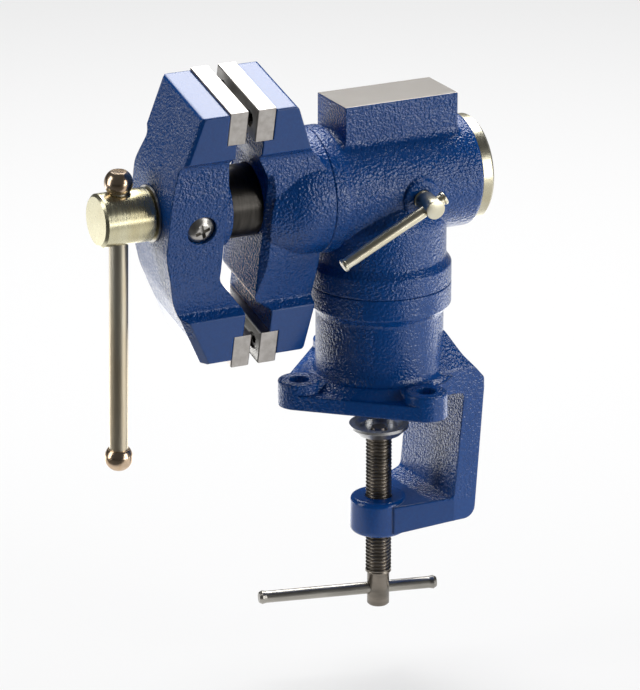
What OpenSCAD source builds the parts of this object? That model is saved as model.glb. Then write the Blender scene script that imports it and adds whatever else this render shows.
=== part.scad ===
// Articulating vise with a clamp-on base, in millimetres.
// The base clamps under a bench edge, the barrel swivels on the base, the head rolls in the barrel
// and a screw inside the slide tube draws the moving jaw towards the fixed jaw.
// Origin: centre of the bench face on the swivel axis. +X runs to the rear of the barrel, +Z is up.
// Head pieces are drawn with the head upright round the barrel axis, then rolled and lifted to it.

/* [Base casting] */
// Height of the barrel axis above the bench face
axis_h = 116.5; // [114:0.5:124]
// Turn of the base against the barrel at rest, in degrees
base_turn = 3.2; // [0:0.2:10]
// Thickness of the flange between the bolt ears
flange_t = 8; // [6:0.5:10]
// Thickness of the bolt ears
ear_t = 13.5; // [12:0.5:15]
// Distance from the swivel axis to each bolt hole
bolt_reach = 48.9; // [47:0.2:54]
// Diameter of the bolt holes
bolt_hole_d = 10.4; // [8:0.2:12]
// Metal left round each bolt hole
ear_wall = 6.1; // [5:0.1:8]
// Radius of the base column
column_r = 34; // [32:0.5:36]
// Height of the swivel seam above the bench face
seam_h = 61.5; // [58:0.5:64]
// Radius of the two swivel rings
ring_r = 38; // [37:0.25:39]
// Height of the ring on the base
base_ring_h = 11.5; // [8:0.5:14]
// Fillet where castings meet
cast_fillet = 4; // [2:0.5:5]

/* [Clamp frame] */
// Width of the clamp frame
frame_w = 57; // [54:1:62]
// Distance from the swivel axis to the inner face of the frame, at the bench
throat_top = 36; // [34:0.5:38]
// Same distance at the lower arm
throat_bottom = 30.2; // [28:0.2:32]
// Thickness of the frame at the bench
frame_t = 13.2; // [12:0.2:15]
// Thickness of the frame at the lower arm
frame_foot_t = 12.6; // [12:0.2:17]
// Clear height between the bench face and the lower arm
throat_h = 59.3; // [56:0.1:64]
// Thickness of the lower arm
arm_t = 13.2; // [11:0.2:16]
// Fall of the lower arm towards the clamp screw
arm_fall = 4.2; // [2:0.2:5]
// Radius of the outer lower corner of the frame
foot_r = 21; // [12:1:22]
// Height of the edges of the frame shoulder above the bench face
shoulder_h = 13; // [11:0.5:14]
// Height of the crown of that shoulder against the column
crown_h = 33.6; // [28:0.2:36]
// Radius of the boss that holds the clamp screw
clamp_boss_r = 15.5; // [13:0.1:18]
// Height of that boss
clamp_boss_h = 20; // [16:0.5:24]

/* [Clamp screw] */
// Diameter of the clamp screw
clamp_d = 14.2; // [12:0.2:16]
// Bench thickness at rest, from the bench face down to the pad
bench_t = 20; // [18:0.5:26]
// Length of the threaded part
clamp_thread_l = 79.8; // [74:0.2:90]
// Diameter of the plain collar at the lower end
collar_d = 12; // [11:0.2:13]
// Length of the plain collar
collar_l = 19; // [16:0.5:22]
// Diameter of the T bar
tbar_d = 6.5; // [5:0.1:7]
// Length of the T bar
tbar_l = 98.5; // [90:0.5:110]
// How far the T bar is slid to one side at rest
tbar_shift = 17; // [0:0.5:30]
// Turn of the T bar at rest, in degrees
tbar_turn = 13; // [0:1:90]
// Radius of the pad
pad_r = 16; // [14:0.5:18]
// Height of the dished pad
pad_h = 5.5; // [5:0.25:7]

/* [Swivel casting] */
// Height of the ring above the seam, up to its rounded edge
swivel_ring_h = 10.4; // [8:0.2:12]
// Rise of the rounded edge on that ring
ring_edge_h = 4.2; // [3:0.2:5]
// Radius of the neck
neck_r = 35.2; // [34:0.2:36]
// Distance from the swivel axis to the front face of the barrel
barrel_front = 41.85; // [41:0.05:44]
// Length of the barrel
barrel_l = 88.35; // [85:0.05:92]
// Outer radius of the barrel
barrel_r = 30.5; // [30:0.1:31.5]
// Radius of the collar at the seam of the head
head_ring_r = 33.65; // [33:0.05:34.5]
// Width of that collar
head_ring_l = 8.4; // [6:0.2:10]
// Distance from the swivel axis to the front end of the anvil
anvil_front = 28.4; // [26:0.2:30]
// Length of the anvil
anvil_l = 65.3; // [60:0.1:68]
// Width of the anvil
anvil_w = 32.8; // [28:0.2:38]
// Height of the anvil face above the barrel axis
anvil_h = 46.8; // [42:0.2:50]
// Rear edge radius of the barrel
barrel_edge = 2.6; // [1:0.2:4]

/* [Pivot] */
// Radius of the spigot under the swivel casting
spigot_r = 22; // [18:0.5:24]
// Height of the spigot's end above the bench face
spigot_foot = 16.5; // [15.5:0.25:17.5]
// Diameter of the pivot bolt
pivot_d = 10; // [8:0.5:12]
// Across flats of the pivot bolt head
pivot_af = 17; // [14:0.5:19]
// Height of the pivot bolt head
pivot_head_h = 6.4; // [5:0.2:7]
// Radius of the pivot washer
pivot_washer_r = 14; // [13:0.5:15]
// Thickness of the pivot washer
pivot_washer_t = 2; // [1.5:0.1:2.4]
// Height of the pivot bolt head above the bench face
pivot_clear = 1.2; // [0.5:0.1:1.5]

/* [Lock screws] */
// Distance from the swivel axis back to the head lock screw
lock_x = 8.6; // [6:0.2:12]
// Tilt of the head lock screw below level, in degrees
lock_tilt = 6; // [0:1:8]
// Diameter of the lock screw threads
lock_d = 10; // [8:0.2:12]
// Diameter of the lock screw heads
lock_head_d = 10.8; // [10:0.1:13]
// Radius of the bosses round the lock screws
lock_boss_r = 10.5; // [9:0.25:11.5]
// Distance from the barrel axis to the face of the head lock boss
lock_boss_out = 32.2; // [31.8:0.1:34]
// Distance from the barrel axis to the end of the head lock screw
lock_out = 47.2; // [46.5:0.1:49]
// Thread that shows between a boss and the head of its lock screw
lock_neck = 2.4; // [1:0.1:3.5]
// From the end of a lock screw back to its lever
lever_back = 5.35; // [5:0.05:6]
// Distance from the swivel axis to the face of the swivel lock boss
swivel_boss_out = 35.5; // [35:0.1:38]
// Height of the swivel lock screw above the bench face
swivel_lock_h = 22; // [21.5:0.25:24]
// Diameter of the lock levers
lever_d = 6.3; // [5:0.1:7]
// Length of the lock levers
lever_l = 65.2; // [58:0.2:68]
// Length of lever on the short side of its screw
lever_short = 8.8; // [8:0.1:14]
// Slope of the lock levers, in degrees
lever_slope = 27.9; // [20:0.5:35]

/* [Head] */
// Roll of the head at rest, in degrees
head_roll = 13.7; // [0:0.1:20]
// Thickness of the round body of the fixed jaw
disc_t = 35; // [33:0.5:36]
// Radius of the shaft that turns in the barrel
shaft_r = 26; // [25:0.1:27]
// Radius of the slide tube
tube_r = 19; // [18:0.1:20]
// Bore radius of the slide tube
tube_bore_r = 14; // [13.5:0.1:15]
// Rear end of the slide tube, from the swivel axis
tube_rear = 31; // [26:0.5:34]
// Width of the guide key
key_w = 6; // [4:0.2:8]
// Height of the guide key
key_h = 5.8; // [4.5:0.1:6.5]
// Radius of the end cap
cap_r = 28.4; // [28:0.1:30]
// Thickness of the end cap
cap_t = 6.9; // [6:0.1:9]
// Bevel of the end cap
cap_bevel = 1.6; // [0.5:0.1:2.5]

/* [Jaws] */
// Width of the jaws
jaw_w = 50; // [48:0.5:56]
// From the barrel front to the upper clamping face of the fixed jaw
upper_reach = 48; // [46:0.1:50]
// From the barrel front to the lower clamping face of the fixed jaw
lower_reach = 31.9; // [31.5:0.1:34]
// Opening of the jaws at rest
jaw_gap = 5; // [4.5:0.1:8]
// Thickness of the jaw plates
plate_t = 10.5; // [9:0.1:12]
// Height of the jaw plates
plate_h = 18.6; // [17:0.2:20]
// How far the plates stand proud of the castings
plate_proud = 5.2; // [3:0.1:6]
// Height of the upper edge of the upper plates above the barrel axis
plate_top = 68; // [67.5:0.1:70]
// Height of the lower edge of the lower plates below the barrel axis
plate_bottom = 86.4; // [86:0.1:89]
// Height of the upper blocks above the barrel axis
block_top = 66.8; // [66:0.1:67.2]
// Depth of the lower blocks below the barrel axis
block_bottom = 82.4; // [82:0.1:84]
// Underside of the upper blocks above the barrel axis
upper_step = 41; // [38:0.5:43]
// Top of the lower blocks below the barrel axis
lower_step = 55; // [54:0.5:60]
// Thickness of the top of the moving jaw
block_top_t = 15.4; // [13:0.2:18]
// Half width of the arms of the jaws
arm_half_w = 19.8; // [18:0.2:21]
// Half the width across the rounded cheeks of both jaws
cheek_half_w = 23.8; // [22:0.2:24.4]
// Depth of the moving jaw at its foot
heel_t = 16.4; // [14:0.2:18]
// Depth of the moving jaw at its chin, below the boss
chin_t = 35.5; // [33:0.5:37]
// Radius of the boss round the slide tube
boss_r = 22.6; // [22:0.1:24]
// Distance from the upper clamping face of the moving jaw to the front of its boss
boss_front = 37.6; // [36:0.2:40]
// Rear face of that boss behind the upper clamping face of the moving jaw
boss_back = 0.6; // [0.2:0.1:1.5]
// Slope of the rear face of the fixed jaw, in degrees
rear_slope = 21; // [16:0.5:24]
// Depth of the fixed jaw at its top
fixed_top_t = 12.4; // [11:0.2:14]
// Corner bevel at the front of the moving jaw
front_bevel = 3.4; // [1:0.2:4]

/* [Plate and tube screws] */
// Half distance between the two screws of a plate
plate_screw_half = 16; // [12:0.5:18]
// Diameter of the plate screws
plate_screw_d = 5; // [4:0.5:6]
// Head diameter of the plate screws
plate_screw_head_d = 8.4; // [7.5:0.1:9]
// Head height of the plate screws
plate_screw_head_h = 4.6; // [4:0.1:5]
// Length of a plate screw under its head
plate_screw_l = 14; // [12:0.5:15]
// Depth of the plate screw heads below the clamping face
plate_screw_sink = 1.2; // [0.8:0.1:2]
// Distance of the tube screw from the upper clamping face of the moving jaw
tube_screw_back = 18.9; // [16:0.1:21]
// Diameter of the tube screw
tube_screw_d = 8; // [6:0.5:9]
// Head diameter of the tube screw
tube_screw_head_d = 15.6; // [14:0.2:16.4]
// Head height of the tube screw
tube_screw_head_h = 4.6; // [3.5:0.1:5]
// Depth of the tube screw's seat under the top of the boss
tube_screw_sink = 2.2; // [1.8:0.1:2.6]
// Arm width of the cross recess
cross_w = 1.9; // [1.4:0.1:2.6]
// Span of the cross recess
cross_l = 8.2; // [7:0.2:9]
// Depth of the cross recess
cross_depth = 2.6; // [2:0.1:3]

/* [Main screw] */
// Diameter of the main screw thread
main_d = 16; // [14:0.5:18]
// Radius of the round head
head_r = 14.1; // [13.5:0.1:15]
// Length of the round head
head_l = 28.9; // [26:0.1:32]
// From the front of the head to the handle hole
handle_hole_x = 12.6; // [11:0.1:14]
// Rear end of the main screw, from the swivel axis
main_rear = 36; // [28:0.5:37]
// Radius of the thrust washer
washer_r = 15; // [14:0.1:16]
// Thickness of the thrust washer
washer_t = 1; // [0.8:0.05:1.2]
// Thickness of the front wall of the moving jaw boss
boss_wall = 10.5; // [9:0.5:12]
// Radius of the retaining collar
retainer_r = 12; // [11:0.1:13]
// Length of the retaining collar
retainer_l = 8; // [6:0.5:10]
// Diameter of the retaining pin
pin_d = 3; // [2:0.25:4]
// Outer radius of the nut sleeve
nut_r = 13.4; // [12:0.1:13.45]
// Length of the nut
nut_l = 76.6; // [60:0.5:80]
// Thickness of the nut flange
nut_flange_t = 5; // [4:0.5:6]

/* [Main handle] */
// Diameter of the handle bar
bar_d = 10; // [8:0.2:11]
// Length of the handle bar between ball centres
bar_l = 151.5; // [140:0.5:165]
// Radius of the handle balls
ball_r = 7.5; // [7:0.1:9]
// Flat on the outer end of each ball, from its centre
ball_flat = 6.2; // [5.5:0.1:7]
// Seat on the inner end of each ball, from its centre
ball_seat = 4.8; // [4.2:0.1:5.5]
// Lean of the hanging handle, in degrees
handle_lean = 2; // [0:0.5:3]

/* [Hidden] */

// Smoothness of round solids
$fn = 64;
// Steps in one drawn fillet
fillet_steps = 6;
// Overrun of every cut
cut = 1;
// Radial clearance of a shaft that turns or slides in its hole
run_gap = 0.05;
// Radial clearance of a piece fixed in its hole
fit_gap = 0.02;
// Gap between flat faces that turn past each other
face_gap = 0.15;
// Gap between the head of a fastener and the wall of its counterbore
head_gap = 0.3;

// Castings
enamel = [0.10, 0.20, 0.55];
ground_steel = [0.72, 0.70, 0.67];
dark_steel = [0.20, 0.18, 0.16];
yellow_zinc = [0.80, 0.76, 0.55];
bright_zinc = [0.82, 0.83, 0.84];
dull_steel = [0.62, 0.61, 0.56];
copper_finish = [0.72, 0.52, 0.38];

// Places along the barrel, from the swivel axis, with the front at -X
barrel_rear = barrel_l - barrel_front;
disc_rear = -barrel_front - face_gap;
disc_front = disc_rear - disc_t;
cap_front = barrel_rear + face_gap;
shaft_rear = cap_front - nut_flange_t;
nut_front = cap_front - nut_l;
upper_fixed_x = -barrel_front - upper_reach;
lower_fixed_x = -barrel_front - lower_reach;
upper_moving_x = upper_fixed_x - jaw_gap;
lower_moving_x = lower_fixed_x - jaw_gap;
boss_front_x = upper_moving_x - boss_front;
boss_rear_x = upper_moving_x - boss_back;
tube_front = boss_front_x + boss_wall;
tube_screw_x = upper_moving_x - tube_screw_back;
head_rear = boss_front_x - washer_t - 2 * face_gap;
head_front = head_rear - head_l;
handle_x = head_front + handle_hole_x;
// Heights of the plate edges towards the barrel axis
upper_plate_foot = plate_top - plate_h;
lower_plate_head = plate_h - plate_bottom;
// Seats of the plates and cast faces beside them
fixed_upper_seat = upper_fixed_x + plate_t;
fixed_lower_seat = lower_fixed_x + plate_t;
moving_upper_seat = upper_moving_x - plate_t;
moving_lower_seat = lower_moving_x - plate_t;
fixed_upper_face = upper_fixed_x + plate_proud;
fixed_lower_face = lower_fixed_x + plate_proud;
moving_upper_face = upper_moving_x - plate_proud;
moving_lower_face = lower_moving_x - plate_proud;

half_w = jaw_w / 2;
ear_r = bolt_hole_d / 2 + ear_wall;
step_r = 5;
corner_r = 3;
// Rear face of the fixed jaw's lower block, just ahead of the barrel seam
block_rear = disc_rear - corner_r * 0.6;
key_l = disc_t * 0.9;

function unit(v) = v / norm(v);
function corner_limit(a, b, c, half) = tan(half) * min(norm(a - b), norm(c - b)) * 0.49;
function corner_arc(a, b, c, r) =
    let (
        u = unit(a - b), v = unit(c - b),
        half = acos(max(-1, min(1, u * v))) / 2,
        r_here = min(r, corner_limit(a, b, c, half)),
        centre = b + unit(u + v) * r_here / sin(half),
        first = b + u * r_here / tan(half) - centre,
        last = b + v * r_here / tan(half) - centre,
        start = atan2(first[1], first[0]),
        turn = atan2(first[0] * last[1] - first[1] * last[0], first * last)
    )
    [for (i = [0:fillet_steps]) centre + r_here * [cos(start + turn * i / fillet_steps),
                                                  sin(start + turn * i / fillet_steps)]];
// An outline from corners written [x, y] or [x, y, fillet radius]
function outline(corners) =
    let (n = len(corners))
    [for (i = [0:n - 1])
        let (a = corners[(i + n - 1) % n], b = corners[i], c = corners[(i + 1) % n])
        each (len(b) == 2 ? [b] : corner_arc([a[0], a[1]], [b[0], b[1]], [c[0], c[1]], b[2]))];
// The same corners seen in a mirror across the vertical axis, in reverse order
function mirrored(corners) =
    [for (i = [len(corners) - 1:-1:0])
        let (p = corners[i]) len(p) == 2 ? [-p[0], p[1]] : [-p[0], p[1], p[2]]];

// Lifts the upright head to the barrel axis and rolls it
module at_head() translate([0, 0, axis_h]) rotate([head_roll, 0, 0]) children();

// A cylinder along +X
module rod_x(r, from_x, to_x) translate([from_x, 0, 0]) rotate([0, 90, 0]) cylinder(r = r, h = to_x - from_x);

// A revolved outline of [distance along X, radius]
module turned_x(points) rotate([0, 90, 0]) rotate_extrude() polygon([for (p = points) [p[1], p[0]]]);

// A side outline of [x, height] drawn across the width
module across(points, w) rotate([90, 0, 0]) linear_extrude(w, center = true) polygon(points);

// A front outline of [width, height] drawn along X
module along(points, from_x, to_x)
    translate([from_x, 0, 0]) rotate([90, 0, 90]) linear_extrude(to_x - from_x) polygon(points);

// A square cutter laid along the edge from a to b, both [x, height], at one side of a jaw
module edge_cutter(a, b, side, size) {
    run = b - a;
    translate([a[0], side, a[1]])
        rotate([0, atan2(run[0], run[1]), 0])
            rotate([0, 0, 45])
                translate([0, 0, norm(run) / 2])
                    cube([size * sqrt(2), size * sqrt(2), norm(run) + 2 * size], center = true);
}

bolt_places = [[-bolt_reach, 0], [0, -bolt_reach], [0, bolt_reach]];

module flange_outline() {
    lean = ear_r / sqrt(2);
    for (p = bolt_places) translate(p) circle(r = ear_r);
    polygon([
        [-bolt_reach - lean, -lean], [-lean, -bolt_reach - lean], [0, -bolt_reach],
        [ear_r, -bolt_reach], [ear_r, bolt_reach],
        [0, bolt_reach], [-lean, bolt_reach + lean], [-bolt_reach - lean, lean]
    ]);
}

// Side view of the clamp frame, from the shoulder round to the lower arm
module frame_side() {
    outer_top = throat_top + frame_t;
    outer_foot = throat_bottom + frame_foot_t;
    floor_h = -throat_h - arm_t;
    across(outline([
        [0, shoulder_h], [outer_top, shoulder_h, frame_t * 0.85],
        [outer_foot, floor_h, foot_r], [throat_bottom, floor_h, foot_r], [0, floor_h - 1.5 * arm_fall],
        [0, -throat_h - arm_fall], [throat_bottom, -throat_h, corner_r], [throat_top, 0, corner_r], [0, 0]
    ]), frame_w);
}

// Crowned shoulder that carries the frame up to the column
module frame_crown() {
    outer = throat_top + frame_t - cut;
    flat_half = frame_w / 3;
    half = [[frame_w / 2, 0], [frame_w / 2, shoulder_h, cast_fillet], [flat_half, crown_h, cast_fillet]];
    intersection() {
        across(outline([
            [0, 0], [outer, 0], [outer, shoulder_h / 2, cast_fillet], [outer * 0.755, crown_h * 0.6, crown_h],
            [column_r * 0.84, crown_h], [0, crown_h]
        ]), frame_w);
        along(outline(concat(half, mirrored(half))), 0, outer + cut);
    }
}

// Plan of the lower arm, tangent to the boss
module arm_plan() {
    corner = [throat_bottom, frame_w / 2];
    touch = atan2(corner[1], corner[0]) + acos(clamp_boss_r / norm(corner));
    tip = clamp_boss_r * [cos(touch), sin(touch)];
    far = throat_top + frame_t + cut;
    polygon([[tip[0], -tip[1]], [corner[0], -corner[1]], [far, -corner[1]],
             [far, corner[1]], corner, tip]);
    circle(r = clamp_boss_r);
}

module base_casting() color(enamel) rotate([0, 0, base_turn]) {
    ring_foot = seam_h - base_ring_h;
    well_floor = spigot_foot - 2 * face_gap;
    recess_top = pivot_head_h + pivot_washer_t + face_gap + pivot_clear;
    boss_top = -throat_h - cast_fillet / 2;
    foot_top = ear_t - cast_fillet / 4;
    difference() {
        union() {
            linear_extrude(flange_t) flange_outline();
            for (p = bolt_places) {
                translate([p[0], p[1], flange_t / 2]) rotate_extrude() polygon(outline([
                    [0, 0], [ear_r, 0], [ear_r, ear_t - flange_t / 2, cast_fillet / 4], [0, ear_t - flange_t / 2]
                ]));
                rotate([0, 0, atan2(p[1], p[0])]) translate([0, -ear_r * 0.82, 0])
                    cube([bolt_reach, 2 * ear_r * 0.82, foot_top]);
            }
            // The flange rises towards the foot of the column
            intersection() {
                linear_extrude(seam_h) flange_outline();
                rotate_extrude() polygon([
                    [0, 0], [bolt_reach, 0], [bolt_reach, flange_t / 2], [column_r + cast_fillet, foot_top],
                    [0, foot_top]
                ]);
            }
            rotate_extrude() polygon(outline([
                [0, 0], [column_r + cast_fillet / 2, 0], [column_r + cast_fillet / 2, foot_top - cast_fillet / 2],
                [column_r + cast_fillet * 1.6, foot_top - cast_fillet / 2], [column_r, foot_top, cast_fillet * 2],
                [column_r, ring_foot - cast_fillet, cast_fillet],
                [ring_r, ring_foot, cast_fillet / 4], [ring_r, seam_h, cast_fillet / 8], [0, seam_h]
            ]));
            intersection() {
                frame_side();
                union() {
                    translate([0, 0, -throat_h + step_r])
                        linear_extrude(throat_h + shoulder_h) translate([0, -frame_w / 2])
                            square([throat_top + frame_t + cut, frame_w]);
                    translate([0, 0, -throat_h - arm_t - 2 * arm_fall]) linear_extrude(throat_h) arm_plan();
                }
            }
            frame_crown();
            rotate_extrude() polygon(outline([
                [0, boss_top], [clamp_boss_r, boss_top, corner_r * 0.8],
                [clamp_boss_r, boss_top - clamp_boss_h, corner_r], [0, boss_top - clamp_boss_h]
            ]));
            translate([0, 0, swivel_lock_h]) rotate([-90, 0, 0]) cylinder(r = lock_boss_r, h = swivel_boss_out);
        }
        for (p = bolt_places)
            translate([p[0], p[1], -cut]) cylinder(d = bolt_hole_d, h = ear_t + 2 * cut);
        translate([0, 0, well_floor]) cylinder(r = spigot_r + run_gap, h = seam_h);
        cylinder(d = pivot_d + 2 * run_gap, h = seam_h);
        translate([0, 0, -cut]) cylinder(r = pivot_washer_r + head_gap, h = recess_top + cut);
        translate([0, 0, boss_top - clamp_boss_h - cut])
            cylinder(d = clamp_d + 2 * run_gap, h = clamp_boss_h + 2 * cut);
        translate([0, 0, swivel_lock_h]) rotate([-90, 0, 0])
            cylinder(d = lock_d + 2 * run_gap, h = swivel_boss_out + cut);
    }
}

module pivot_washer() color(bright_zinc)
    translate([0, 0, pivot_clear + pivot_head_h]) difference() {
        cylinder(r = pivot_washer_r, h = pivot_washer_t);
        translate([0, 0, -cut]) cylinder(d = pivot_d + 2 * fit_gap, h = pivot_washer_t + 2 * cut);
    }

module pivot_bolt() color(bright_zinc) translate([0, 0, pivot_clear]) {
    shank_l = (seam_h + spigot_foot) / 2 - pivot_clear - pivot_head_h;
    cylinder(d = pivot_af / cos(30), h = pivot_head_h, $fn = 6);
    translate([0, 0, pivot_head_h]) cylinder(d = pivot_d, h = shank_l);
}

// Neck with its shoulders drawn in under the barrel, and the spigot below
module neck_body() {
    ring_top = seam_h + swivel_ring_h;
    shoulder = axis_h - barrel_r * 0.62;
    rotate_extrude() polygon(outline([
        [0, spigot_foot], [spigot_r - corner_r / 2, spigot_foot],
        [spigot_r, spigot_foot + corner_r / 2], [spigot_r, seam_h + face_gap],
        [ring_r, seam_h + face_gap, cast_fillet / 8], [ring_r, ring_top, cast_fillet / 2],
        [neck_r, ring_top + ring_edge_h, cast_fillet / 2],
        [neck_r, shoulder, (neck_r - barrel_r) * 3], [barrel_r * 0.84, axis_h, corner_r], [0, axis_h]
    ]));
}

module barrel_body() translate([0, 0, axis_h]) {
    front = -barrel_front;
    turned_x(outline([
        [front, 0], [front, head_ring_r, cast_fillet / 8], [front + head_ring_l, head_ring_r, cast_fillet / 4],
        [front + head_ring_l, barrel_r, cast_fillet / 2], [barrel_rear, barrel_r, barrel_edge], [barrel_rear, 0]
    ]));
}

// Anvil block whose foot spreads onto the barrel in hollow fillets
module anvil() translate([0, 0, axis_h]) {
    spread = cast_fillet * 1.5;
    half = anvil_w / 2;
    rear = anvil_l - anvil_front;
    reach = norm([half, anvil_h]) + cut;
    // Centre of the side fillet, a little inside the tangent to the barrel
    hollow = [half + spread, sqrt(pow(barrel_r + spread - fit_gap * 6, 2) - pow(half + spread, 2))];
    last = atan2(-hollow[1], -hollow[0]) + 360;
    side = [for (i = [fillet_steps:-1:0])
        let (turn = 180 + (last - 180) * i / fillet_steps) hollow + spread * [cos(turn), sin(turn)]];
    front_half = concat([[barrel_r / 2, 0]], side, [[half, anvil_h, cast_fillet / 6]]);
    intersection() {
        along(outline(concat(front_half, mirrored(front_half))), -anvil_front - spread, rear + spread);
        turned_x(outline([
            [-anvil_front - spread, 0], [-anvil_front - spread, barrel_r - fit_gap * 8],
            [-anvil_front, barrel_r, spread], [-anvil_front, reach], [rear, reach],
            [rear, barrel_r, spread], [rear + spread, barrel_r - fit_gap * 8], [rear + spread, 0]
        ]));
    }
}

// The head lock screw points out of the near side, tilted down from the barrel axis
module at_head_lock() translate([lock_x, 0, axis_h]) rotate([90 + lock_tilt, 0, 0]) children();
module at_swivel_lock() rotate([0, 0, base_turn]) translate([0, 0, swivel_lock_h]) rotate([-90, 0, 0]) children();

module swivel_casting() color(enamel) difference() {
    union() {
        neck_body();
        barrel_body();
        anvil();
        at_head_lock() rotate_extrude() polygon(outline([
            [0, 0], [lock_boss_r + cast_fillet, 0], [lock_boss_r + cast_fillet, barrel_r - cast_fillet],
            [lock_boss_r, barrel_r - cast_fillet / 2, cast_fillet], [lock_boss_r, lock_boss_out, cast_fillet / 2],
            [0, lock_boss_out]
        ]));
    }
    translate([0, 0, axis_h]) rod_x(shaft_r + run_gap, -barrel_front - cut, barrel_rear + cut);
    at_head_lock() cylinder(d = lock_d + 2 * run_gap, h = lock_boss_out + cut);
    translate([0, 0, spigot_foot - cut])
        cylinder(d = pivot_d + 2 * fit_gap, h = (seam_h - spigot_foot) / 2 + 2 * cut);
}

// A lock screw from its tip to the end of its head, with the lever hole across
module lock_screw(tip, boss_out, out) color(yellow_zinc) difference() {
    union() {
        translate([0, 0, tip]) cylinder(d = lock_d, h = boss_out + lock_neck - tip);
        translate([0, 0, boss_out + lock_neck]) rotate_extrude() polygon(outline([
            [0, 0], [lock_head_d / 2, 0], [lock_head_d / 2, out - boss_out - lock_neck, lock_head_d / 12],
            [0, out - boss_out - lock_neck]
        ]));
    }
    translate([0, 0, out - lever_back]) rotate([0, 90, 0])
        cylinder(d = lever_d + 2 * run_gap, h = lock_head_d + 2 * cut, center = true);
}

// A lever that slides through a lock screw, its long end at -X before it is turned to its slope
module lock_lever(seat) color(yellow_zinc) translate([0, 0, seat]) rotate([0, 90, 0])
    translate([0, 0, lever_short - lever_l]) rotate_extrude() {
        bead = lever_d * 0.08;
        polygon(outline([
            [0, 0], [lever_d / 2 + bead, 0, lever_d / 8], [lever_d / 2 + bead, lever_d / 4],
            [lever_d / 2, lever_d / 3], [lever_d / 2, lever_l - lever_d / 3],
            [lever_d / 2 + bead, lever_l - lever_d / 4], [lever_d / 2 + bead, lever_l, lever_d / 8], [0, lever_l]
        ]));
    }

swivel_lock_out = swivel_boss_out + lock_out - lock_boss_out;

module head_lock_screw() at_head_lock() rotate([0, 0, lever_slope])
    lock_screw(shaft_r + head_gap, lock_boss_out, lock_out);
module head_lock_lever() at_head_lock() rotate([0, 0, lever_slope]) lock_lever(lock_out - lever_back);
module swivel_lock_screw() at_swivel_lock() rotate([0, 0, 180])
    lock_screw(spigot_r + head_gap, swivel_boss_out, swivel_lock_out);
module swivel_lock_lever() at_swivel_lock() rotate([0, 0, 180])
    lock_lever(swivel_lock_out - lever_back);

// Front view of both jaws: wide upper and lower blocks with rounded cheeks between them
function jaw_front_view() =
    let (half = [
        [half_w, -block_bottom, corner_r / 3], [half_w, -lower_step, corner_r / 3],
        [arm_half_w, -lower_step + corner_r, corner_r / 2], [cheek_half_w, -boss_r * 1.2, boss_r],
        [cheek_half_w, boss_r * 0.8, boss_r], [arm_half_w, upper_step - step_r, step_r],
        [half_w, upper_step, corner_r / 3], [half_w, block_top, corner_r / 3]
    ])
    outline(concat(half, mirrored(half)));

// Corners of the front of the moving jaw in side view, from the top edge down to the heel
top_front = moving_upper_seat - block_top_t;
brow = [boss_front_x, boss_r * 0.88];
throat = [boss_front_x, -boss_r * 0.62];
chin = [moving_lower_seat - chin_t, -lower_step * 0.8];
heel = [moving_lower_seat - heel_t, -block_bottom];
moving_face = [
    [top_front, block_top, corner_r * 0.8], [brow[0], brow[1], boss_r * 2], [throat[0], throat[1], boss_r * 1.6],
    [chin[0], chin[1], boss_r * 2], [heel[0], heel[1], corner_r / 3]
];

module moving_jaw() color(enamel) at_head() difference() {
    union() {
        intersection() {
            across(outline(concat([[moving_upper_seat, block_top]], moving_face, [
                [moving_lower_seat, -block_bottom], [moving_lower_seat, lower_plate_head],
                [moving_lower_face, lower_plate_head],
                [moving_lower_face, -lower_step + corner_r / 2, corner_r],
                [boss_rear_x - step_r, -boss_r - 2 * step_r, boss_r / 2], [boss_rear_x - step_r, upper_step - step_r, step_r],
                [moving_upper_face, upper_step, corner_r / 2], [moving_upper_face, upper_plate_foot],
                [moving_upper_seat, upper_plate_foot]
            ])), jaw_w);
            along(jaw_front_view(), boss_front_x - jaw_w, lower_moving_x);
        }
        // The boss ends flush with the front face
        intersection() {
            across(outline(concat([[boss_rear_x + cut, block_top]], moving_face, [[boss_rear_x + cut, -block_bottom]])),
                   jaw_w);
            turned_x([[boss_front_x - cut, 0], [boss_front_x - cut, boss_r - front_bevel - cut],
                      [boss_front_x + front_bevel, boss_r],
                      [boss_rear_x - corner_r / 6, boss_r], [boss_rear_x, boss_r - corner_r / 6], [boss_rear_x, 0]]);
        }
    }
    for (turn = [0, 1]) mirror([0, turn, 0]) {
        edge_cutter([top_front, block_top], brow, half_w, front_bevel / 2);
        edge_cutter(chin, heel, half_w, front_bevel);
    }
    rod_x(main_d / 2 + run_gap, boss_front_x - jaw_w, tube_front + cut);
    rod_x(tube_r + fit_gap, tube_front, boss_rear_x + jaw_w);
    at_tube_screw() {
        cylinder(d = tube_screw_d + 2 * fit_gap, h = boss_r + cut);
        translate([0, 0, tube_screw_seat]) cylinder(d = tube_screw_head_d + 2 * head_gap, h = boss_r);
    }
    plate_screw_holes(moving_upper_seat, moving_lower_seat, 1);
}

// The tube screw enters the boss from the near side
module at_tube_screw() translate([tube_screw_x, 0, 0]) rotate([90, 0, 0]) children();
tube_screw_seat = boss_r - tube_screw_sink;

module tube_screw() color(bright_zinc) at_head() at_tube_screw() difference() {
    union() {
        translate([0, 0, tube_bore_r + head_gap])
            cylinder(d = tube_screw_d, h = tube_screw_seat - tube_bore_r - head_gap);
        translate([0, 0, tube_screw_seat]) rotate_extrude() polygon(outline([
            [0, 0], [tube_screw_head_d / 2, 0], [tube_screw_head_d / 2, tube_screw_head_h / 3, tube_screw_head_h / 3],
            [tube_screw_head_d / 4, tube_screw_head_h, tube_screw_head_d / 4], [0, tube_screw_head_h]
        ]));
    }
    translate([0, 0, tube_screw_seat + tube_screw_head_h - cross_depth]) rotate([0, 0, cross_turn])
        for (turn = [0, 90]) rotate([0, 0, turn])
            translate([-cross_l / 2, -cross_w / 2, 0]) cube([cross_l, cross_w, cross_depth + cut]);
}

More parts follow.
